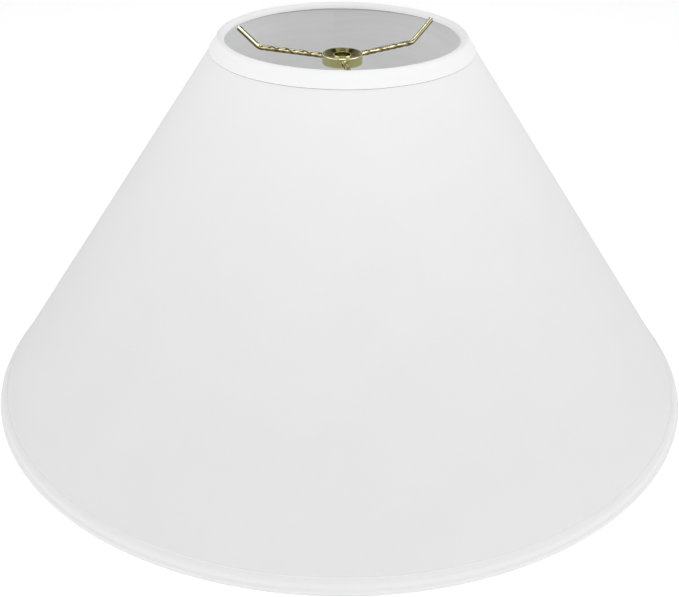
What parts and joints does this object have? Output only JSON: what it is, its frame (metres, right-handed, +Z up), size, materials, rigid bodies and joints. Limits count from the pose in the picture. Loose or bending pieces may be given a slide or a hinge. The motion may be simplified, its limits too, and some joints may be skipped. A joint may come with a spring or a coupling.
{
  "type": "lamp shade",
  "caption": "White hardback cone lamp shade with taped edges, wire edge rings, a seamed back and a recessed brass washer spider.",
  "frame": {"origin": "on the shade's axis, level with the foot of the bottom trim, where the shade stands on a table", "axes": "+Z up the axis towards the small top opening, +Y towards the glued lap down the back, -Y to the front"},
  "size_m": [0.46, 0.46, 0.233],
  "materials": {
    "cover_fabric": "matt white cloth with a fine plain weave",
    "trim_tape": "matt white folded tape",
    "styrene_lining": "smooth matt white sheet",
    "brass_plate": "polished pale brass plate",
    "ring_steel": "drawn wire"
  },
  "bodies": {
    "root": {"cover_fabric": "cover_fabric", "styrene_lining": "styrene_lining", "top_trim": "trim_tape", "bottom_trim": "trim_tape", "top_ring": "brass_plate", "bottom_ring": "ring_steel", "spider_hub": "brass_plate", "spider_arm_1": "brass_plate", "spider_arm_2": "brass_plate", "spider_arm_3": "brass_plate"}
  },
  "joints": []
}
